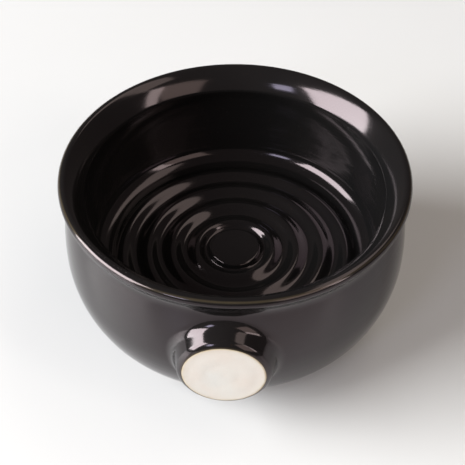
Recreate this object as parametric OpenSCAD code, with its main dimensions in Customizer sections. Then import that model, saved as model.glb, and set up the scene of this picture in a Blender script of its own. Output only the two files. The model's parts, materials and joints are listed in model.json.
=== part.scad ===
// Shaving bowl in glazed stoneware, with a ridged floor and a short stub grip on its front wall.
// The origin is on the bowl's axis, at the plane that the foot stands on. The stub points along -Y.
// Every outline is drawn in the half plane of a lathe: [distance from the axis, height].

/* [Bowl] */
// Diameter over the rolled edge of the rim
rim_d = 130; // [124:1:140]
// Height from the foot plane to the top of the rim
bowl_h = 67; // [65:0.5:70]
// Radius of the rolled edge
roll_r = 2; // [1.8:0.1:2.2]
// How far the waist under the rim stands inside the rim's edge
waist_inset = 2.2; // [1.8:0.1:2.6]
// Height of the widest point of the outside
belly_h = 34.5; // [33.5:0.5:35.5]

/* [Inside] */
// Radial width of the flared lip, from the rim's edge to the narrow throat
lip_w = 9.1; // [8.7:0.1:9.6]
// How far the wall stands outside the throat, halfway down
undercut = 2.5; // [1.8:0.1:3]
// Height of the ridge crests above the foot plane
crest_h = 25.8; // [25:0.1:27]
// Height of a ridge over the grooves beside it
ridge_h = 1.9; // [1.6:0.1:2.2]
// Radius of the innermost ridge
ridge_r = 14.6; // [14.2:0.1:15]
// Distance from one ridge to the next
ridge_pitch = 9.8; // [9.4:0.1:10]
// Radius of the flat disc in the middle
disc_r = 9.3; // [8.8:0.1:9.6]

/* [Foot] */
// Diameter of the hollow under the floor
hollow_d = 79; // [74:1:82]
// Depth of the hollow under the floor
hollow_h = 15.5; // [13:0.5:16]
// Height of the bare clay band at the foot
bare_h = 2; // [1.6:0.1:2.4]

/* [Stub grip] */
// Diameter of the bare flat end of the stub
face_d = 28.8; // [27:0.2:30]
// Distance from the bowl's axis to the bare end of the stub
stub_reach = 70.8; // [70:0.1:73]
// Height of the stub's axis above the foot plane
stub_h = 36.2; // [35:0.1:38]
// Radius of the rounded shoulder round the bare end
shoulder_r = 5; // [4:0.2:6]
// Radius of the hollow fillet at the root of the stub
fillet_r = 5.1; // [4.4:0.1:5.6]

/* [Glaze] */
// Thickness of the fired glaze
glaze_t = 0.5; // [0.4:0.1:0.7]

/* [Hidden] */
$fn = 200;

RIM_R = rim_d / 2;
GROOVE_H = crest_h - ridge_h;
RIDGES = 4;

// Rolled edge of the rim
ROLL = [RIM_R - roll_r, bowl_h - roll_r];

// Outside, from the waist down: a long belly arc, a lower arc and the turn towards the foot
WAIST_DROP = 10;
WAIST = [RIM_R - waist_inset, bowl_h - WAIST_DROP];
BELLY_R = ((WAIST[1] - belly_h) ^ 2 + waist_inset ^ 2) / (2 * waist_inset);
BELLY_ANGLE = asin((WAIST[1] - belly_h) / BELLY_R);
LOWER_R = 46;
LOWER_ANGLE = 22;
TURN_R = 34;
TURN = [RIM_R - LOWER_R, belly_h] + (LOWER_R - TURN_R) * polar(-LOWER_ANGLE);

// Hollow arc between the rolled edge and the waist, tangent to both
WAIST_DIR = polar(BELLY_ANGLE);
WAIST_GAP = WAIST - ROLL;
HOLLOW_R = (WAIST_GAP * WAIST_GAP - roll_r ^ 2) / (2 * (roll_r - WAIST_DIR * WAIST_GAP));
HOLLOW = WAIST + HOLLOW_R * WAIST_DIR;
HOLLOW_ANGLE = atan2(HOLLOW[1] - ROLL[1], HOLLOW[0] - ROLL[0]);

// Inside lip: a broad arc down from the roll, and a tight one round the throat
FLARE_TOP = 126.7;
THROAT_R = 2;
THROAT_DROP = 8;
THROAT = [RIM_R - lip_w + THROAT_R, bowl_h - THROAT_DROP];
FLARE_GAP = THROAT - ROLL;
FLARE_R = flare_radius();
FLARE = ROLL + (roll_r - FLARE_R) * polar(FLARE_TOP);
FLARE_END = atan2(THROAT[1] - FLARE[1], THROAT[0] - FLARE[0]);

// Inside wall: an upper arc tangent to the throat, a lower arc and the fillet into the floor
WALL_R = RIM_R - lip_w + undercut;
UPPER_WALL_R = 40;
LOWER_WALL_R = 60;
WALL_H = THROAT[1] - sqrt((UPPER_WALL_R + THROAT_R) ^ 2 - (THROAT[0] - WALL_R + UPPER_WALL_R) ^ 2);
UPPER_WALL = [WALL_R - UPPER_WALL_R, WALL_H];
LOWER_WALL = [WALL_R - LOWER_WALL_R, WALL_H];
WALL_ANGLE = atan2(THROAT[1] - WALL_H, THROAT[0] - UPPER_WALL[0]);
CORNER_X = ridge_r + (RIDGES - 0.5) * ridge_pitch;
CORNER_A = CORNER_X - LOWER_WALL[0];
CORNER_B = GROOVE_H - WALL_H;
CORNER_R = (LOWER_WALL_R ^ 2 - CORNER_A ^ 2 - CORNER_B ^ 2) / (2 * (LOWER_WALL_R + CORNER_B));
CORNER = [CORNER_X, GROOVE_H + CORNER_R];
CORNER_ANGLE = atan2(CORNER[1] - WALL_H, CORNER_A);

// Groove round the middle disc, a little nearer to the disc than to the first ridge
GROOVE_SHARE = 0.38;
GROOVE_R = disc_r + GROOVE_SHARE * (ridge_r - disc_r);
DISC_DOME = 0.25;
FLOOR_STEPS = 56;

// Foot and the hollow under the floor
FOOT_ROUND = 1.6;
FOOT_INSET = 0.6;
HOLLOW_ROUND = 7;
FOOT_INNER_ROUND = 1.2;

// Stub: a shoulder arc from the bare end to a cone, whose half angle is STUB_CONE. The clay's
// shoulder meets the flat end at the angle SHOULDER_END.
STUB_CONE = 18;
SHOULDER_END = 55;
CLAY_SHOULDER_R = shoulder_r - glaze_t;
SHOULDER = [face_d / 2, stub_reach] - CLAY_SHOULDER_R * polar(SHOULDER_END);
CONE_TOP = SHOULDER + shoulder_r * polar(STUB_CONE);

// Fillet at the stub's root, tangent to the cone and to a skirt that dives into the wall
SKIRT_SLOPE = 45;
SKIRT_LENGTH = 5;
SKIRT_START = RIM_R - 0.8;
FILLET_REACH = SKIRT_START + fillet_r * cos(SKIRT_SLOPE);
FILLET_OUT = (fillet_r - (FILLET_REACH - CONE_TOP[1]) * sin(STUB_CONE)) / cos(STUB_CONE);
FILLET = [CONE_TOP[0] + FILLET_OUT, FILLET_REACH];
ROOT_START = RIM_R - 12;

function polar(angle) = [cos(angle), sin(angle)];

// Points along an arc about a centre
function arc(centre, radius, from, to, steps = 8) =
    [for (i = [0 : steps]) centre + radius * polar(from + (to - from) * i / steps)];

// Radius of the arc that leaves the roll at FLARE_TOP and is tangent to the throat's circle
function flare_radius() =
    let (
        offset = FLARE_GAP - roll_r * polar(FLARE_TOP),
        along = offset * polar(FLARE_TOP)
    )
    (offset * offset - THROAT_R ^ 2) / (-2 * (along + THROAT_R));

// Height of the ridged floor at a distance from the axis
function wave(t) = (1 - cos(180 * t)) / 2;
function floor_h(r) =
    r < disc_r ? crest_h + DISC_DOME * (1 - (r / disc_r) ^ 2)
    : r < GROOVE_R ? crest_h - ridge_h * wave((r - disc_r) / (GROOVE_R - disc_r))
    : r < ridge_r ? GROOVE_H + ridge_h * wave((r - GROOVE_R) / (ridge_r - GROOVE_R))
    : GROOVE_H + ridge_h * wave(1 + 2 * (r - ridge_r) / ridge_pitch);

// Outside outline from the top of the roll down to a height, sunk by a depth below the glaze
function outside(depth, stop_h) = concat(
    arc(ROLL, roll_r - depth, 90, HOLLOW_ANGLE, 12),
    arc(HOLLOW, HOLLOW_R + depth, 180 + HOLLOW_ANGLE, 180 + BELLY_ANGLE, 8),
    arc([RIM_R - BELLY_R, belly_h], BELLY_R - depth, BELLY_ANGLE, 0, 8),
    arc([RIM_R - LOWER_R, belly_h], LOWER_R - depth, 0, -LOWER_ANGLE, 6),
    arc(TURN, TURN_R - depth, -LOWER_ANGLE, -asin((TURN[1] - stop_h) / (TURN_R - depth)), 10)
);

// Inside outline from the top of the roll down to the middle of the floor
function inside(depth) = concat(
    arc(ROLL, roll_r - depth, 90, FLARE_TOP, 4),
    arc(FLARE, FLARE_R - depth, FLARE_TOP, FLARE_END, 8),
    arc(THROAT, THROAT_R - depth, FLARE_END, 180 + WALL_ANGLE, 6),
    arc(UPPER_WALL, UPPER_WALL_R + depth, WALL_ANGLE, 0, 6),
    arc(LOWER_WALL, LOWER_WALL_R + depth, 0, CORNER_ANGLE, 5),
    arc(CORNER, CORNER_R + depth, CORNER_ANGLE, -90, 9),
    [for (i = [1 : FLOOR_STEPS]) let (r = CORNER_X * (1 - i / FLOOR_STEPS)) [r, floor_h(r) - depth]]
);

// Underside: the bare foot ring and the hollow inside it, from the outer edge to the axis
function underside() =
    let (edge_r = last(outside(glaze_t, bare_h))[0])
    concat(
        arc([edge_r - FOOT_ROUND - FOOT_INSET, FOOT_ROUND], FOOT_ROUND, -30, -90, 4),
        arc([hollow_d / 2 + FOOT_INNER_ROUND, FOOT_INNER_ROUND], FOOT_INNER_ROUND, 270, 180, 4),
        arc([hollow_d / 2 - HOLLOW_ROUND, hollow_h - HOLLOW_ROUND], HOLLOW_ROUND, 0, 90, 6),
        [[0, hollow_h]]
    );

function reversed(points) = [for (i = [len(points) - 1 : -1 : 0]) points[i]];
function last(points) = points[len(points) - 1];

// The bowl's outside form with no hollow in it, sunk by a depth
module solid_form(depth) {
    rotate_extrude()
        polygon(concat([[0, bowl_h - roll_r]], outside(depth, bare_h), [[0, bare_h]]));
}

// Stub outlines are drawn as [distance from the stub's axis, distance from the bowl's axis].
// Its side from the cone to the end, sunk by a depth
function shoulder_outline(depth) =
    let (radius = shoulder_r - depth)
    arc(SHOULDER, radius, STUB_CONE, asin((stub_reach - SHOULDER[1]) / radius), 6);

// Foot of the cone, carried on without a fillet to a distance inside the wall
function cone_foot(depth) =
    let (top = SHOULDER + (shoulder_r - depth) * polar(STUB_CONE))
    [top[0] + (top[1] - ROOT_START) * tan(STUB_CONE), ROOT_START];

// Fillet at the root: a skirt that dives into the wall, then a hollow arc to the cone
function fillet_outline(depth) =
    let (curve = arc(FILLET, fillet_r + depth, 270 - SKIRT_SLOPE, 180 + STUB_CONE, 5))
    concat([curve[0] + SKIRT_LENGTH * [1, -tan(SKIRT_SLOPE)]], curve);

// Lathes an outline round the stub's axis
module stub_lathe(outline) {
    translate([0, 0, stub_h])
        rotate([90, 0, 0])
            rotate_extrude()
                polygon(outline);
}

// The stub from inside the wall to its end, sunk by a depth, with or without the fillet
module stub_form(depth, filleted) {
    root = filleted ? fillet_outline(depth) : [cone_foot(depth)];
    stub_lathe(concat(
        [[0, ROOT_START], [root[0][0], ROOT_START]],
        root,
        shoulder_outline(depth),
        [[0, stub_reach]]
    ));
}

// Stoneware body: rolled rim, belly, ridged floor and foot ring in one throw
module bowl_body() {
    color("wheat")
        rotate_extrude()
            polygon(concat(reversed(inside(glaze_t)), outside(glaze_t, bare_h), underside()));
}

// Solid clay stub, cut at its root to sit on the wall
module grip_stub() {
    color("antiquewhite")
        difference() {
            stub_form(glaze_t, false);
            solid_form(glaze_t);
        }
}

// Ring of slip that joins the stub to the wall, wiped to a hollow fillet
module root_slip() {
    color("tan")
        difference() {
            stub_lathe(concat(
                [cone_foot(glaze_t), [fillet_outline(glaze_t)[0][0], ROOT_START]],
                fillet_outline(glaze_t)
            ));
            solid_form(glaze_t);
        }
}

// Glaze poured inside: lip, wall and ridges
module inside_glaze() {
    color([0.12, 0.10, 0.09])
        rotate_extrude()
            polygon(concat(inside(0), reversed(inside(glaze_t))));
}

// Glaze dipped outside: wall and stub side, leaving the stub's end and the foot bare
module outside_glaze() {
    color([0.14, 0.11, 0.10])
        difference() {
            union() {
                rotate_extrude()
                    polygon(concat(outside(0, bare_h), reversed(outside(glaze_t, bare_h))));
                difference() {
                    stub_form(0, true);
                    solid_form(glaze_t);
                }
            }
            stub_form(glaze_t, true);
        }
}

bowl_body();
grip_stub();
root_slip();
inside_glaze();
outside_glaze();
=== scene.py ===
"""Shaving bowl in glazed stoneware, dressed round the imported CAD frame. Lengths are in metres."""
import json
import math

import bpy
import numpy as np
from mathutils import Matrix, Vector


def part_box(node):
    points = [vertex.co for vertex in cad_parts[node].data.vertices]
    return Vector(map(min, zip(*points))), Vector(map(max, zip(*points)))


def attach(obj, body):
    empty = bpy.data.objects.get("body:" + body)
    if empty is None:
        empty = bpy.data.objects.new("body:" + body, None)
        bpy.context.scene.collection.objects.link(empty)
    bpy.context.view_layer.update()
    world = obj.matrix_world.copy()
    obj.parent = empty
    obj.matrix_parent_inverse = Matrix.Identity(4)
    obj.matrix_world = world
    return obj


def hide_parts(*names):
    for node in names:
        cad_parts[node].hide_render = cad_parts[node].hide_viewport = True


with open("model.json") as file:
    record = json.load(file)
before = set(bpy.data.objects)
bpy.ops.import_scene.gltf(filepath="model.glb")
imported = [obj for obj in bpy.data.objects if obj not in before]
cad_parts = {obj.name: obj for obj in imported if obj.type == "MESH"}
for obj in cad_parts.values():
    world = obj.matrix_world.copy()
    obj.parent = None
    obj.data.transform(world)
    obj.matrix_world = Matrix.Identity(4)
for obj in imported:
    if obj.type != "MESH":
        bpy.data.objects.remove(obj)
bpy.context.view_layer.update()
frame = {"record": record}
MM = 0.001

# ---------------------------------------------------------------------------------------------
# Sizes. The outer ones come from the frame; the ones inside the outline repeat the CAD's own.
# ---------------------------------------------------------------------------------------------
coat_low, coat_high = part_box("outside_glaze")
clay_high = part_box("bowl_body")[1]
stub_mount = next(m for m in frame["record"]["mounts"] if m["name"] == "stub_end")

RIM_R = coat_high.x
BOWL_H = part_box("inside_glaze")[1].z
GLAZE = coat_high.x - clay_high.x
BARE_H = coat_low.z
STUB_H = stub_mount["pos_m"][2]
STUB_END = -stub_mount["pos_m"][1]

# Outside wall: rolled edge, waist, belly, lower arc and the turn towards the foot
ROLL_R = 2.0 * MM
WAIST_INSET = 2.2 * MM
WAIST_DROP = 10 * MM
BELLY_H = 34.5 * MM
LOWER_R = 46 * MM
LOWER_ANGLE = 22
TURN_R = 34 * MM

# Inside: lip, throat and the two arcs of the wall
FLARE_TOP = 126.7
LIP_W = 9.1 * MM
THROAT_R = 2 * MM
THROAT_DROP = 8 * MM
UNDERCUT = 2.5 * MM
UPPER_WALL_R = 40 * MM
LOW_WALL_R = 60 * MM

# Floor: a disc in the middle, then round ridges
CREST_H = 25.8 * MM
RIDGE_H = 1.9 * MM
RIDGE_R = 14.6 * MM
RIDGE_PITCH = 9.8 * MM
RIDGES = 4
DISC_R = 9.3 * MM
DISC_DOME = 0.25 * MM
GROOVE_SHARE = 0.38

# Stub: bare face, rounded shoulder, cone and the fillet at its root
FACE_R = 14.4 * MM
SHOULDER_R = 4.5 * MM
SHOULDER_START = 35
CONE_TILT = 72
FILLET_R = 5.1 * MM

# Foot: the hollow underneath and the rounds on the ring
HOLLOW_R = 39.5 * MM
HOLLOW_H = 15.5 * MM
HOLLOW_ROUND = 7 * MM
FOOT_ROUND = 1.6 * MM
FOOT_INSET = 0.6 * MM
RING_ROUND = 1.2 * MM

# Mesh columns round the glaze coats, the clay body and the stub
COLUMNS = 288
BODY_COLUMNS = 192
STUB_COLUMNS = 144

# The two coats meet on top of the roll, where each has one narrow row of mesh, in degrees
EDGE_STEP = 0.4


def polar(degrees):
    return np.array([math.cos(math.radians(degrees)), math.sin(math.radians(degrees))])


def bearing(vector):
    return math.degrees(math.atan2(vector[1], vector[0]))


def arc(centre, radius, start, end, steps):
    """Points of an arc, without its first point, so that arcs chain without doubles."""
    turns = [start + (end - start) * i / steps for i in range(1, steps + 1)]
    return [centre + radius * polar(t) for t in turns]


# ---------------------------------------------------------------------------------------------
# Outlines in the lathe's half plane: [distance from the axis, height]
# ---------------------------------------------------------------------------------------------
class Outline:
    """Tangent arcs of the bowl's section, worked out as the CAD source works them out."""

    def __init__(self):
        self.roll = np.array([RIM_R - ROLL_R, BOWL_H - ROLL_R])
        self.outside_arcs()
        self.inside_arcs()

    def outside_arcs(self):
        waist = np.array([RIM_R - WAIST_INSET, BOWL_H - WAIST_DROP])
        drop = waist[1] - BELLY_H
        self.belly_r = (drop**2 + WAIST_INSET**2) / (2 * WAIST_INSET)
        self.belly_angle = math.degrees(math.asin(drop / self.belly_r))
        self.lower = np.array([RIM_R - LOWER_R, BELLY_H])
        self.turn = self.lower + (LOWER_R - TURN_R) * polar(-LOWER_ANGLE)
        outward = polar(self.belly_angle)
        gap = waist - self.roll
        self.hollow_r = (gap @ gap - ROLL_R**2) / (2 * (ROLL_R - outward @ gap))
        self.hollow = waist + self.hollow_r * outward
        self.hollow_angle = bearing(self.hollow - self.roll)

    def inside_arcs(self):
        self.throat = np.array([RIM_R - LIP_W + THROAT_R, BOWL_H - THROAT_DROP])
        top = polar(FLARE_TOP)
        offset = self.throat - self.roll - ROLL_R * top
        self.flare_r = (offset @ offset - THROAT_R**2) / (-2 * (offset @ top + THROAT_R))
        self.flare = self.roll + (ROLL_R - self.flare_r) * top
        self.flare_end = bearing(self.throat - self.flare)
        wall_r = RIM_R - LIP_W + UNDERCUT
        reach = self.throat[0] - wall_r + UPPER_WALL_R
        wall_h = self.throat[1] - math.sqrt((UPPER_WALL_R + THROAT_R) ** 2 - reach**2)
        self.upper = np.array([wall_r - UPPER_WALL_R, wall_h])
        self.low = np.array([wall_r - LOW_WALL_R, wall_h])
        self.wall_angle = bearing(self.throat - self.upper)
        groove_h = CREST_H - RIDGE_H
        self.corner_x = RIDGE_R + (RIDGES - 0.5) * RIDGE_PITCH
        across, down = self.corner_x - self.low[0], groove_h - wall_h
        self.corner_r = (LOW_WALL_R**2 - across**2 - down**2) / (2 * (LOW_WALL_R + down))
        self.corner = np.array([self.corner_x, groove_h + self.corner_r])
        self.corner_angle = bearing(self.corner - self.low)

    def outside(self, depth=0.0, fine=1):
        """From the top of the roll down to the end of the glaze, sunk by a depth. A larger fine
        gives more points."""
        points = [self.roll + (ROLL_R - depth) * polar(90)]
        points += arc(self.roll, ROLL_R - depth, 90, self.hollow_angle, 18 * fine)
        points += arc(self.hollow, self.hollow_r + depth, 180 + self.hollow_angle,
                      180 + self.belly_angle, 8 * fine)
        belly = np.array([RIM_R - self.belly_r, BELLY_H])
        points += arc(belly, self.belly_r - depth, self.belly_angle, 0, 18 * fine)
        points += arc(self.lower, LOWER_R - depth, 0, -LOWER_ANGLE, 11 * fine)
        stop = -math.degrees(math.asin((self.turn[1] - BARE_H) / (TURN_R - depth)))
        points += arc(self.turn, TURN_R - depth, -LOWER_ANGLE, stop, 15 * fine)
        return np.array(points)

    def inside(self, depth=0.0):
        """From the top of the roll down to the last groove, where the ridged floor starts."""
        points = [self.roll + (ROLL_R - depth) * polar(90)]
        points += arc(self.roll, ROLL_R - depth, 90, FLARE_TOP, 6)
        points += arc(self.flare, self.flare_r - depth, FLARE_TOP, self.flare_end, 14)
        points += arc(self.throat, THROAT_R - depth, self.flare_end, 180 + self.wall_angle, 12)
        points += arc(self.upper, UPPER_WALL_R + depth, self.wall_angle, 0, 12)
        points += arc(self.low, LOW_WALL_R + depth, 0, self.corner_angle, 9)
        points += arc(self.corner, self.corner_r + depth, self.corner_angle, -90, 16)
        return np.array(points)


outline = Outline()


def wave(t):
    """Rises smoothly from 0 to 1 as t goes from 0 to 1, and falls again to 0 at 2."""
    return (1 - math.cos(math.pi * t)) / 2


def floor_height(r):
    """Height of the ridged floor at a distance from the axis."""
    groove_r = DISC_R + GROOVE_SHARE * (RIDGE_R - DISC_R)
    groove_h = CREST_H - RIDGE_H
    if r < DISC_R:
        return CREST_H + DISC_DOME * (1 - (r / DISC_R) ** 2)
    if r < groove_r:
        return CREST_H - RIDGE_H * wave((r - DISC_R) / (groove_r - DISC_R))
    if r < RIDGE_R:
        return groove_h + RIDGE_H * wave((r - groove_r) / (RIDGE_R - groove_r))
    return groove_h + RIDGE_H * wave(1 + 2 * (r - RIDGE_R) / RIDGE_PITCH)


# ---------------------------------------------------------------------------------------------
# Mesh building
# ---------------------------------------------------------------------------------------------
class Net:
    """Vertices, faces and one float per vertex, which says how far the glaze has thinned."""

    def __init__(self):
        self.points = []
        self.thin = []
        self.faces = []

    def add(self, point, thin=0.0):
        self.points.append(tuple(point))
        self.thin.append(thin)
        return len(self.points) - 1

    def strip(self, first, second):
        """Quads between two closed rows of vertex numbers."""
        count = len(first)
        for i in range(count):
            j = (i + 1) % count
            self.faces.append((first[i], first[j], second[j], second[i]))

    def fan(self, row, centre):
        """Triangles from a closed row to one vertex."""
        for i in range(len(row)):
            self.faces.append((row[i], row[(i + 1) % len(row)], centre))

    def build(self, name, material):
        points = np.array(self.points)
        mesh = bpy.data.meshes.new(name)
        mesh.from_pydata(warped(points).tolist(), [], self.faces)
        mesh.validate()
        mesh.polygons.foreach_set("use_smooth", [True] * len(mesh.polygons))
        layer = mesh.attributes.new("thin", "FLOAT", "POINT")
        layer.data.foreach_set("value", self.thin)
        mesh.materials.append(material)
        piece = bpy.data.objects.new(name, mesh)
        bpy.context.scene.collection.objects.link(piece)
        return piece


OVAL = 0.10 * MM
LOBES = 0.05 * MM
RIM_DIP = 0.07 * MM
STUB_SPARED = 0.6


def warped(points):
    """The slight out-of-round of a hand-finished bowl. It only pulls inward, and fades out at the
    foot and at the stub, so that the frame's box, foot plane and stub end stay true."""
    x, y, z = points.T
    angle = np.arctan2(x, -y)
    radius = np.hypot(x, y)
    rise = np.clip(z / BOWL_H, 0, 1)
    away = 1 - np.exp(-((angle / STUB_SPARED) ** 2))
    uneven = OVAL * (1 + np.cos(2 * angle + 0.9)) + LOBES * (1 + np.cos(3 * angle + 2.1))
    pull = uneven * rise * away * np.clip(radius / RIM_R, 0, 1)
    dip = RIM_DIP * (1 + np.cos(2 * angle - 1.1)) * rise**4 * away
    scale = (radius - pull) / np.maximum(radius, 1e-9)
    return np.stack([x * scale, y * scale, z - dip], axis=1)


ON_AXIS = 1e-7


def lathe_point(r, h, angle):
    """Angle 0 is at the front, over the stub, and grows towards +X."""
    return (r * math.sin(angle), -r * math.cos(angle), h)


def turn_of(column, columns):
    return 2 * math.pi * column / columns


def lathe_rows(net, section, columns, thin):
    """One closed row of vertices for each point of the section; a point on the axis is one vertex.
    thin(r, h, angle) says how far the glaze has thinned there."""
    angles = [turn_of(i, columns) for i in range(columns)]
    rows = []
    for r, h in section:
        if r < ON_AXIS:
            rows.append([net.add((0, 0, h))])
        else:
            rows.append([net.add(lathe_point(r, h, angle), thin(r, h, angle)) for angle in angles])
    return rows


def join_rows(net, rows, closed_section=False):
    """Faces between neighbouring rows, and from the last to the first if the section is closed."""
    pairs = list(zip(rows, rows[1:]))
    if closed_section:
        pairs.append((rows[-1], rows[0]))
    for first, second in pairs:
        if len(second) == 1:
            net.fan(first, second[0])
        elif len(first) == 1:
            net.fan(list(reversed(second)), first[0])
        else:
            net.strip(first, second)


def coat(piece, thickness):
    """Gives a surface its glaze thickness, inward, and closes it round the edges."""
    solid = piece.modifiers.new("thickness", "SOLIDIFY")
    solid.thickness = thickness
    solid.offset = -1
    solid.use_even_offset = True
    return piece


def place(piece, node):
    """Puts a piece on the one body, in place of its CAD node."""
    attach(piece, "root")
    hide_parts(node)


# ---------------------------------------------------------------------------------------------
# The line round the rim where the glaze thins and breaks from black to brown: its middle, in
# degrees of the roll above the outward direction, and its width in degrees
# ---------------------------------------------------------------------------------------------
BREAK_ANGLE = 50
BREAK_WIDTH = 13
ROLL_BAND = 2.2 * ROLL_R


def break_on_roll(r, h, angle):
    """How far the glaze has thinned at a place on the rolled edge of the rim."""
    if h < BOWL_H - ROLL_BAND or r < outline.roll[0] - ROLL_R:
        return 0.0
    facing = bearing(np.array([r, h]) - outline.roll)
    drift = 4 * math.sin(3 * angle + 0.7) + 3 * math.sin(7 * angle + 2.0)
    strength = 0.85 + 0.15 * math.sin(5 * angle + 1.0)
    return strength * math.exp(-(((facing - BREAK_ANGLE - drift) / BREAK_WIDTH) ** 2))


# ---------------------------------------------------------------------------------------------
# The outside wall as a function, and the fillet that a ball would roll at the stub's root
# ---------------------------------------------------------------------------------------------
class Wall:
    """Distance from the y = 0 plane to the outside wall, in front, at a given x and height."""

    def __init__(self, depth):
        section = outline.outside(depth, fine=8)
        # From the foot upward, because np.interp wants rising heights
        below = section[section[:, 1] < outline.roll[1]][::-1]
        self.heights, self.radii = below[:, 1], below[:, 0]

    def reach(self, x, h):
        radius = np.interp(h, self.heights, self.radii)
        return math.sqrt(radius**2 - x**2)

    def along(self, rho, turn):
        """The same, at a distance from the stub's axis in a direction round it (0 is up)."""
        return self.reach(rho * math.sin(turn), STUB_H + rho * math.cos(turn))


class StubSide:
    """The stub's side about its own axis, in (rho, reach): a rounded shoulder, then a cone. The
    angle of a normal is 0 along the axis and 90 straight out; depth sinks it under the glaze."""

    def __init__(self, depth):
        self.radius = SHOULDER_R + GLAZE - depth
        start = polar(90 - SHOULDER_START)
        self.centre = np.array([FACE_R, STUB_END]) - SHOULDER_R * start
        self.normal = polar(90 - CONE_TILT)
        self.seat = self.centre + self.radius * self.normal
        self.ball_r = FILLET_R + depth

    def shoulder(self, angle, radius):
        return self.centre + radius * polar(90 - angle)


SLOPE_STEP = 0.02 * MM
SCAN_STEP = 0.1 * MM
HALVINGS = 20


def fillet_arc(wall, side, turn, steps):
    """Points (rho, reach) of the fillet from the wall to the stub's cone, at one turn. The ball
    that rolls along the root is found by a scan outward from the cone, then by halving."""

    def ball_centre(rho):
        change = wall.along(rho + SLOPE_STEP, turn) - wall.along(rho - SLOPE_STEP, turn)
        slope = change / (2 * SLOPE_STEP)
        out = np.array([-slope, 1.0]) / math.hypot(1, slope)
        return np.array([rho, wall.along(rho, turn)]) + side.ball_r * out

    def short_of_touch(rho):
        return (ball_centre(rho) - side.seat) @ side.normal < side.ball_r

    low = side.seat[0]
    while short_of_touch(low + SCAN_STEP):
        low += SCAN_STEP
    high = low + SCAN_STEP
    for _ in range(HALVINGS):
        touch = (low + high) / 2
        if short_of_touch(touch):
            low = touch
        else:
            high = touch
    centre = ball_centre(touch)
    first = np.array([touch, wall.along(touch, turn)])
    start, end = bearing(first - centre) % 360, 180 + bearing(side.normal)
    return [first] + arc(centre, side.ball_r, start, end, steps)


def round_stub(rho, reach, turn):
    """Point at a distance from the stub's axis, a reach from the bowl's axis and a turn."""
    return (rho * math.sin(turn), -reach, STUB_H + rho * math.cos(turn))


# ---------------------------------------------------------------------------------------------
# Materials
# ---------------------------------------------------------------------------------------------
class Shader:
    """A Principled material, and short ways to add nodes to it."""

    def __init__(self, name):
        self.material = bpy.data.materials.new(name)
        self.material.use_nodes = True
        self.tree = self.material.node_tree
        self.shader = self.tree.nodes["Principled BSDF"]
        self.place = self.node("ShaderNodeTexCoord").outputs["Object"]

    def node(self, kind, **settings):
        made = self.tree.nodes.new(kind)
        for key, value in settings.items():
            setattr(made, key, value)
        return made

    def link(self, source, target):
        self.tree.links.new(source, target)

    def set(self, **values):
        """Constants on the shader's own sockets, named with _ for a space."""
        for key, value in values.items():
            self.shader.inputs[key.replace("_", " ")].default_value = value

    def noise(self, scale, detail=3.0, roughness=0.5, stretch=(1, 1, 1)):
        """Noise in object space; the scale counts features per metre."""
        mapping = self.node("ShaderNodeMapping")
        mapping.inputs["Scale"].default_value = stretch
        self.link(self.place, mapping.inputs["Vector"])
        made = self.node("ShaderNodeTexNoise")
        made.inputs["Scale"].default_value = scale
        made.inputs["Detail"].default_value = detail
        made.inputs["Roughness"].default_value = roughness
        self.link(mapping.outputs["Vector"], made.inputs["Vector"])
        return made.outputs["Fac"]

    def cells(self, scale):
        """Distance to the nearest of scattered points, for spots and specks."""
        made = self.node("ShaderNodeTexVoronoi")
        made.inputs["Scale"].default_value = scale
        self.link(self.place, made.inputs["Vector"])
        return made.outputs["Distance"]

    def spread(self, source, low, high, start=0.0, end=1.0):
        """Maps low..high of a value to start..end, clamped."""
        made = self.node("ShaderNodeMapRange")
        for name, value in zip(("From Min", "From Max", "To Min", "To Max"), (low, high, start, end)):
            made.inputs[name].default_value = value
        self.link(source, made.inputs["Value"])
        return made.outputs["Result"]

    def math(self, operation, first, second):
        """A float stands for a constant, and anything else is a socket to link."""
        made = self.node("ShaderNodeMath", operation=operation)
        for socket, value in zip(made.inputs, (first, second)):
            if isinstance(value, float):
                socket.default_value = value
            else:
                self.link(value, socket)
        return made.outputs["Value"]

    def mix(self, amount, first, second):
        """Mixes two colours, each a tuple or a socket."""
        made = self.node("ShaderNodeMix", data_type="RGBA")
        self.link(amount, made.inputs["Factor"])
        for name, value in (("A", first), ("B", second)):
            socket = [s for s in made.inputs if s.name == name and s.type == "RGBA"][0]
            if isinstance(value, tuple):
                socket.default_value = (*value, 1.0)
            else:
                self.link(value, socket)
        return [s for s in made.outputs if s.type == "RGBA"][0]

    def thinness(self):
        return self.node("ShaderNodeAttribute", attribute_name="thin").outputs["Fac"]

    def bump(self, height, strength, distance, under=None):
        """A bump over another one, if that is given; the distance is in metres."""
        made = self.node("ShaderNodeBump")
        made.inputs["Strength"].default_value = strength
        made.inputs["Distance"].default_value = distance
        self.link(height, made.inputs["Height"])
        if under is not None:
            self.link(under, made.inputs["Normal"])
        return made.outputs["Normal"]


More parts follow.
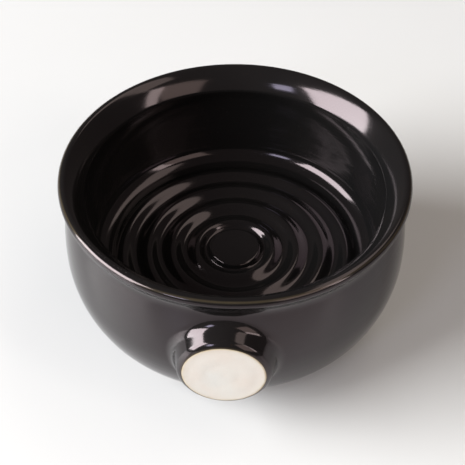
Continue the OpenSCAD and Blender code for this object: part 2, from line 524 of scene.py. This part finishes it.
def glaze_material():
    """Brown-black gloss glaze: it breaks to olive brown where it thins, with iron speckle, a trace
    of dust, faint orange peel, throwing lines and rare pinholes."""
    made = Shader("glaze_black")
    clouds = made.noise(28, detail=4)
    body = made.mix(made.spread(clouds, 0.35, 0.68), (0.0058, 0.0054, 0.0057), (0.0078, 0.0069, 0.0069))
    speckle = made.noise(900, detail=2)
    body = made.mix(made.spread(speckle, 0.68, 0.76, 0.0, 0.6), body, (0.020, 0.011, 0.007))
    streak = made.noise(160, detail=3, stretch=(1, 1, 0.35))
    edge = made.math("MULTIPLY", made.thinness(), made.spread(streak, 0.2, 0.6, 0.65, 1.0))
    brown = made.mix(streak, (0.048, 0.037, 0.023), (0.026, 0.020, 0.013))
    colour = made.mix(made.spread(edge, 0.12, 0.85), body, brown)
    dust = made.cells(420)
    dusty = made.spread(dust, 0.030, 0.045, 0.5, 0.0)
    patches = made.spread(made.noise(14, detail=1), 0.52, 0.62)
    dusty = made.math("MULTIPLY", dusty, patches)
    made.link(made.mix(dusty, colour, (0.16, 0.15, 0.14)), made.shader.inputs["Base Color"])
    smear = made.noise(45, detail=5, roughness=0.6)
    rough = made.spread(smear, 0.3, 0.8, 0.09, 0.15)
    dull = made.math("MULTIPLY", dusty, 0.4)
    made.link(made.math("ADD", rough, dull), made.shader.inputs["Roughness"])
    peel = made.bump(made.noise(240, detail=1), 0.10, 0.00006)
    thrown = made.bump(made.noise(5, detail=4, roughness=0.62, stretch=(1, 1, 45)), 0.5, 0.00012, peel)
    pin = made.spread(made.cells(150), 0.0, 0.022)
    made.link(made.bump(pin, 0.25, 0.00008, thrown), made.shader.inputs["Normal"])
    made.set(IOR=1.465, Specular_Tint=(1.0, 0.80, 0.87, 1.0))
    return made.material


def stub_clay_material():
    """Cream clay of the stub's end: wiped smooth, with a fine grain, faint peach and grey mottling."""
    made = Shader("clay_cream")
    mottle = made.spread(made.noise(95, detail=4, roughness=0.55), 0.35, 0.7)
    colour = made.mix(mottle, (0.655, 0.61, 0.575), (0.64, 0.565, 0.52))
    cool = made.spread(made.noise(60, detail=2), 0.5, 0.7)
    colour = made.mix(cool, colour, (0.625, 0.60, 0.58))
    stain = made.math("MULTIPLY", made.thinness(), made.spread(made.noise(300), 0.25, 0.7, 0.5, 1.0))
    colour = made.mix(stain, colour, (0.47, 0.36, 0.22))
    grit = made.spread(made.noise(2400, detail=1), 0.70, 0.76, 0.0, 0.5)
    made.link(made.mix(grit, colour, (0.50, 0.40, 0.30)), made.shader.inputs["Base Color"])
    made.link(made.spread(mottle, 0, 1, 0.62, 0.78), made.shader.inputs["Roughness"])
    grain = made.bump(made.noise(1500, detail=4, roughness=0.7), 0.35, 0.00005)
    made.link(made.bump(made.noise(260, detail=2), 0.3, 0.00012, grain), made.shader.inputs["Normal"])
    made.set(IOR=1.45)
    return made.material


def body_clay_material():
    """Warm bare stoneware of the foot: turned, slightly toasted, with sand and iron specks."""
    made = Shader("clay_foot")
    mottle = made.spread(made.noise(55, detail=5, roughness=0.6), 0.3, 0.72)
    colour = made.mix(mottle, (0.62, 0.50, 0.38), (0.70, 0.60, 0.49))
    toast = made.math("MULTIPLY", made.thinness(), made.spread(made.noise(130), 0.2, 0.7, 0.4, 1.0))
    colour = made.mix(toast, colour, (0.42, 0.24, 0.13))
    iron = made.spread(made.cells(330), 0.05, 0.10, 0.8, 0.0)
    made.link(made.mix(iron, colour, (0.16, 0.09, 0.05)), made.shader.inputs["Base Color"])
    made.link(made.spread(mottle, 0, 1, 0.78, 0.92), made.shader.inputs["Roughness"])
    sand = made.bump(made.noise(1100, detail=5, roughness=0.75), 0.55, 0.00010)
    made.link(made.bump(made.cells(700), 0.25, 0.00008, sand), made.shader.inputs["Normal"])
    made.set(IOR=1.45)
    return made.material


def slip_material():
    """Fired slip under the glaze: the body's clay, a little darker and smoother."""
    made = Shader("clay_slip")
    mottle = made.noise(120, detail=4)
    made.link(made.mix(mottle, (0.50, 0.38, 0.27), (0.58, 0.47, 0.36)), made.shader.inputs["Base Color"])
    made.link(made.spread(mottle, 0, 1, 0.7, 0.85), made.shader.inputs["Roughness"])
    made.link(made.bump(made.noise(900, detail=3), 0.4, 0.00006), made.shader.inputs["Normal"])
    return made.material


def floor_material():
    """Pale satin table top."""
    made = Shader("table_white")
    clouds = made.noise(9, detail=3)
    made.link(made.mix(clouds, (0.665, 0.64, 0.66), (0.685, 0.66, 0.68)), made.shader.inputs["Base Color"])
    made.link(made.spread(clouds, 0.3, 0.7, 0.28, 0.34), made.shader.inputs["Roughness"])
    made.link(made.bump(made.noise(600, detail=2), 0.05, 0.0001), made.shader.inputs["Normal"])
    made.set(IOR=1.49)
    return made.material


# ---------------------------------------------------------------------------------------------
# Pieces
# ---------------------------------------------------------------------------------------------
def floor_radii(steps):
    """Distances from the axis at which the ridged floor has a row of mesh, from the outside in."""
    return [outline.corner_x * (1 - i / steps) for i in range(1, steps + 1)]


def inside_coat(material):
    """Glaze inside: lip, throat, wall and the ridged floor, each ridge a little uneven."""
    net = Net()
    upper = list(outline.inside())
    upper.insert(1, outline.roll + ROLL_R * polar(90 + EDGE_STEP))
    section = upper + [np.array([r, floor_height(r)]) for r in floor_radii(150)]
    rows = lathe_rows(net, section, COLUMNS, break_on_roll)
    for row in rows[len(upper):-1]:
        for number in row:
            net.points[number] = uneven_floor(net.points[number])
    join_rows(net, rows)
    return net.build("glaze_inside", material)


RIDGE_RISE = 0.06 * MM
RIDGE_DRIFT = 0.10 * MM


def uneven_floor(point):
    """Throwing marks: each ridge rises, falls and wanders by about a tenth of a millimetre."""
    x, y, z = point
    r = math.hypot(x, y)
    angle = math.atan2(x, -y)
    fade = min(r / RIDGE_R, 1) * min((outline.corner_x - r) / (3 * MM), 1)
    ring = (r - RIDGE_R) / RIDGE_PITCH
    rise = math.sin(2 * angle + 1.9 * ring + 0.4) + 0.6 * math.sin(5 * angle - 1.3 * ring)
    drift = math.sin(angle + 2.3 * ring + 1.1) + 0.4 * math.sin(3 * angle + 0.9 * ring)
    stretch = 1 + RIDGE_DRIFT * drift * fade / max(r, MM / 1000)
    return (x * stretch, y * stretch, z + RIDGE_RISE * rise * fade)


# Border of the patch of mesh round the stub: it clears the fillet on every side
PATCH_TOP_H = BOWL_H - 7.0 * MM
PATCH_LOW_H = 9.0 * MM
PATCH_HALF_WIDTH = 29 * MM


def outside_coat(material):
    """Glaze outside: the wall, with a patch of mesh that runs over the fillet and the stub."""
    net = Net()
    section = list(outline.outside(fine=2))
    section.insert(1, outline.roll + ROLL_R * polar(90 - EDGE_STEP))
    foot_line = 0.5 * MM

    def thin(r, h, angle):
        return max(break_on_roll(r, h, angle), math.exp(-(((h - BARE_H) / foot_line) ** 2)))

    rows = lathe_rows(net, section, COLUMNS, thin)
    top = next(k for k, p in enumerate(section) if p[1] < PATCH_TOP_H)
    low = next(k for k, p in enumerate(section) if p[1] < PATCH_LOW_H)
    half = round(math.asin(PATCH_HALF_WIDTH / RIM_R) * COLUMNS / (2 * math.pi))
    for k, (first, second) in enumerate(zip(rows, rows[1:])):
        for i in range(COLUMNS):
            j = (i + 1) % COLUMNS
            inside_patch = top <= k < low and (i < half or i >= COLUMNS - half)
            if not inside_patch:
                net.faces.append((first[j], first[i], second[i], second[j]))
    across = [i % COLUMNS for i in range(-half, half + 1)]
    border = [rows[top][i] for i in across]
    border += [rows[k][half] for k in range(top + 1, low)]
    border += [rows[low][i] for i in reversed(across)]
    border += [rows[k][COLUMNS - half] for k in range(low - 1, top, -1)]
    stub_patch(net, border)
    # Drops the wall's vertices that lie inside the patch
    used = sorted({number for face in net.faces for number in face})
    renumber = {old: new for new, old in enumerate(used)}
    net.points = [net.points[old] for old in used]
    net.thin = [net.thin[old] for old in used]
    net.faces = [tuple(renumber[n] for n in face) for face in net.faces]
    return net.build("glaze_outside", material)


COAT_SHORT = 0.02 * MM


def stub_profile(side, root):
    """Glazed side of the stub, (rho, reach, thinness), from its fillet to the end. Over the last
    85% of the shoulder the coat thins to 15%, and over its last 30% the colour breaks. The coat
    stays a little short of the stub's end."""
    cone_steps, shoulder_steps = 8, 24
    thick_share, black_share = 0.15, 0.7
    points = [(*(root + (side.seat - root) * i / cone_steps), 0.0) for i in range(1, cone_steps + 1)]
    last = SHOULDER_START + 2.0
    for i in range(1, shoulder_steps + 1):
        t = i / shoulder_steps
        angle = CONE_TILT + (last - CONE_TILT) * t
        thickness = GLAZE * (1 - max(t - thick_share, 0))
        rho, reach = side.shoulder(angle, SHOULDER_R + thickness)
        thin = max(t - black_share, 0) / (1 - black_share)
        points.append((rho, min(reach, STUB_END - COAT_SHORT), thin))
    return points


def stub_patch(net, border):
    """Columns from the patch's border in to the fillet, along the stub and over its edge."""
    wall = Wall(0.0)
    side = StubSide(0.0)
    wall_steps = 15
    columns = []
    for number in border:
        x, _, z = net.points[number]
        turn = math.atan2(x, z - STUB_H)
        rho_border = math.hypot(x, z - STUB_H)
        fillet = fillet_arc(wall, side, turn, 16)
        touch = fillet[0][0]
        column = [number]
        for i in range(1, wall_steps + 1):
            rho = rho_border + (touch - rho_border) * (i / wall_steps)
            column.append(net.add(round_stub(rho, wall.along(rho, turn), turn)))
        for rho, reach in fillet[1:]:
            column.append(net.add(round_stub(rho, reach, turn)))
        for rho, reach, thin in stub_profile(side, fillet[-1]):
            column.append(net.add(round_stub(rho, reach, turn), thin))
        columns.append(column)
    for first, second in zip(columns, columns[1:] + columns[:1]):
        for i in range(len(first) - 1):
            net.faces.append((first[i], first[i + 1], second[i + 1], second[i]))


TRIM_DEPTH = 0.10 * MM
TRIM_SINK = 0.15 * MM


def trimming(r):
    """Shallow rings that the trimming tool leaves in the hollow, fading out on the axis."""
    coarse, fine = math.sin(r / (0.9 * MM)), math.sin(r / (0.37 * MM))
    return TRIM_DEPTH * (coarse + 0.5 * fine) * min(r / MM, 1)


def foot_section():
    """Underside: bare band, rounded foot ring and the turned hollow with its trimming rings."""
    edge_r = outline.outside(GLAZE)[-1][0]
    outer = np.array([edge_r - FOOT_ROUND - FOOT_INSET, FOOT_ROUND])
    inner = np.array([HOLLOW_R + RING_ROUND, RING_ROUND])
    top = np.array([HOLLOW_R - HOLLOW_ROUND, HOLLOW_H - HOLLOW_ROUND])
    band_end = -30
    points = [outer + FOOT_ROUND * polar(band_end)]
    points += arc(outer, FOOT_ROUND, band_end, -90, 10)
    points.append(np.array([(outer[0] + inner[0]) / 2, 0.0]))
    points.append(inner + RING_ROUND * polar(270))
    points += arc(inner, RING_ROUND, 270, 180, 10)
    points += [np.array([HOLLOW_R, h]) for h in np.linspace(inner[1], top[1], 9)[1:]]
    points += arc(top, HOLLOW_ROUND, 0, 90, 20)
    steps = 60
    for i in range(1, steps + 1):
        r = top[0] * (1 - i / steps)
        points.append(np.array([r, HOLLOW_H - TRIM_SINK + trimming(r)]))
    return points


def clay_body(material):
    """Stoneware body, closed: it fits under both coats and shows bare at the foot."""
    net = Net()
    inner = list(outline.inside(GLAZE))
    inner += [np.array([r, floor_height(r) - GLAZE]) for r in floor_radii(60)]
    section = list(reversed(inner)) + list(outline.outside(GLAZE))[1:] + foot_section()
    toasted = 0.8 * MM

    def thin(r, h, angle):
        if r < HOLLOW_R + 2 * MM:
            return 0.0
        return math.exp(-(((h - BARE_H) / toasted) ** 2)) * (0.75 + 0.25 * math.sin(4 * angle + 0.5))

    rows = lathe_rows(net, section, BODY_COLUMNS, thin)
    join_rows(net, [list(reversed(row)) for row in rows])
    return net.build("clay_body", material)


FACE_WAVES = 0.03 * MM
FACE_SINK = 0.035 * MM


def clay_stub(material):
    """Solid stub, closed: a root on the wall, a coned side, a shoulder and a flat wiped end, sunk
    by a little more than its waves."""
    net = Net()
    wall = Wall(GLAZE)
    side = StubSide(GLAZE)
    turns = [turn_of(i, STUB_COLUMNS) for i in range(STUB_COLUMNS)]
    feet = [cone_foot(wall, side, t) for t in turns]
    root_steps, cone_steps, shoulder_steps, face_steps = 7, 5, 12, 26
    face_reach = STUB_END - FACE_SINK
    rows = [[net.add(round_stub(0, wall.along(0, 0), 0))]]
    for k in range(1, root_steps + 1):
        rhos = [f[0] * k / root_steps for f in feet]
        rows.append([net.add(round_stub(rho, wall.along(rho, t), t)) for rho, t in zip(rhos, turns)])
    for k in range(1, cone_steps + 1):
        points = [f + (side.seat - f) * k / cone_steps for f in feet]
        rows.append([net.add(round_stub(*p, t)) for p, t in zip(points, turns)])
    for k in range(1, shoulder_steps + 1):
        angle = CONE_TILT + (SHOULDER_START - CONE_TILT) * k / shoulder_steps
        point = side.shoulder(angle, side.radius)
        rows.append([net.add(round_stub(*point, t), k / shoulder_steps) for t in turns])
    for k in range(1, face_steps):
        rho = FACE_R * (1 - k / face_steps)
        from_edge = FACE_R - rho
        wiped = FACE_WAVES * math.sin(rho / (1.1 * MM)) * min(from_edge / MM, 1)
        stain = 0.55 * math.exp(-from_edge / (0.7 * MM))
        rows.append([net.add(round_stub(rho, face_reach + wiped, t), stain) for t in turns])
    rows.append([net.add(round_stub(0, face_reach, 0))])
    join_rows(net, [list(reversed(row)) for row in rows])
    return net.build("clay_stub", material)


def cone_foot(wall, side, turn):
    """Where the stub's cone, carried on without a fillet, meets the wall."""
    rho = side.seat[0]
    rounds, damping = 30, 0.6
    for _ in range(rounds):
        rise = (side.seat[1] - wall.along(rho, turn)) / math.tan(math.radians(CONE_TILT))
        rho += damping * (side.seat[0] + rise - rho)
    return np.array([rho, wall.along(rho, turn)])


def slip_ring(material):
    """Ring of slip at the stub's root, a closed three-sided bead that lies under the coat."""
    net = Net()
    wall = Wall(GLAZE)
    side = StubSide(GLAZE)
    loops = []
    for i in range(STUB_COLUMNS):
        turn = turn_of(i, STUB_COLUMNS)
        curve = fillet_arc(wall, side, turn, 8)
        foot = cone_foot(wall, side, turn)
        middle = (foot[0] + curve[0][0]) / 2
        loop = curve + [foot, (middle, wall.along(middle, turn))]
        loops.append([net.add(round_stub(rho, reach, turn)) for rho, reach in loop])
    join_rows(net, [list(reversed(row)) for row in zip(*loops)], closed_section=True)
    return net.build("slip_ring", material)


glaze = glaze_material()
place(coat(inside_coat(glaze), GLAZE), "inside_glaze")
place(coat(outside_coat(glaze), GLAZE), "outside_glaze")
place(clay_body(body_clay_material()), "bowl_body")
place(clay_stub(stub_clay_material()), "grip_stub")
place(slip_ring(slip_material()), "root_slip")


# ---------------------------------------------------------------------------------------------
# Floor, light and camera
# ---------------------------------------------------------------------------------------------
LIGHT_REACH = 2.5
FLOOR_SIZE = 10.0


def sweep():
    """Plain floor, a flat grid of quads."""
    mesh = bpy.data.meshes.new("sweep")
    steps = 24
    places = [FLOOR_SIZE * (i / steps - 0.5) for i in range(steps + 1)]
    points = [(x, y, 0.0) for y in places for x in places]
    faces = []
    for j in range(steps):
        for i in range(steps):
            a = j * (steps + 1) + i
            faces.append((a, a + 1, a + steps + 2, a + steps + 1))
    mesh.from_pydata(points, [], faces)
    mesh.materials.append(floor_material())
    floor = bpy.data.objects.new("sweep", mesh)
    bpy.context.scene.collection.objects.link(floor)


def soft_box(name, bearing_deg, elevation_deg, width_deg, height_deg, radiance, tint):
    """Rectangular light, given by how wide and high it looks from the bowl. Bearing 0 is in front,
    over the stub, and 90 is +X."""
    width = 2 * LIGHT_REACH * math.tan(math.radians(width_deg / 2))
    height = 2 * LIGHT_REACH * math.tan(math.radians(height_deg / 2))
    light = bpy.data.lights.new(name, "AREA")
    light.shape = "RECTANGLE"
    light.size, light.size_y = width, height
    light.energy = radiance * width * height * math.pi
    light.color = tint
    lamp = bpy.data.objects.new(name, light)
    level, rise = math.radians(bearing_deg), math.radians(elevation_deg)
    away = Vector(lathe_point(math.cos(rise), math.sin(rise), level))
    lamp.location = Vector((0, 0, BOWL_H)) + LIGHT_REACH * away
    lamp.rotation_mode = "QUATERNION"
    lamp.rotation_quaternion = away.to_track_quat("Z", "Y")
    bpy.context.scene.collection.objects.link(lamp)


def lights():
    """A large window on the left, a small cool one beside it, a curtained one and a bright strip on
    the right, and a faint one high up. The world is a dim warm room."""
    soft_box("window_left", -76, 25.5, 43, 37, 17.6, (0.95, 1.0, 0.97))
    soft_box("window_small", -32, 30.5, 12, 11, 10.0, (0.72, 0.81, 1.0))
    soft_box("curtain_right", 42.5, 29.5, 27, 31, 1.75, (1.0, 0.90, 0.76))
    soft_box("strip_right", 64, 28, 9, 32, 5.7, (1.0, 0.97, 0.88))
    soft_box("ceiling_right", 112, 60, 54, 19, 1.8, (1.0, 0.96, 0.82))
    world = bpy.data.worlds.new("studio")
    world.use_nodes = True
    background = world.node_tree.nodes["Background"]
    background.inputs["Color"].default_value = (1.0, 0.89, 0.84, 1.0)
    background.inputs["Strength"].default_value = 0.115
    bpy.context.scene.world = world


AIM_H = 68 * MM
CAMERA_DISTANCE = 6.025 * RIM_R
CAMERA_ELEVATION = math.radians(42.24)
CAMERA_PITCH = math.radians(45.76)
CAMERA_SIDE = math.radians(2.99)
CAMERA_YAW = CAMERA_SIDE + math.radians(0.192)


def camera():
    """Looks down at about 42 degrees, a little to the right of the stub."""
    data = bpy.data.cameras.new("camera")
    data.sensor_width = 36
    data.lens = 82.75
    data.clip_start, data.clip_end = 0.01, 20
    eye = bpy.data.objects.new("camera", data)
    flat = CAMERA_DISTANCE * math.cos(CAMERA_ELEVATION)
    eye.location = lathe_point(flat, AIM_H + CAMERA_DISTANCE * math.sin(CAMERA_ELEVATION), CAMERA_SIDE)
    eye.rotation_euler = (math.pi / 2 - CAMERA_PITCH, 0, CAMERA_YAW)
    bpy.context.scene.collection.objects.link(eye)
    bpy.context.scene.camera = eye


sweep()
lights()
camera()
bpy.context.scene.view_settings.view_transform = "Standard"
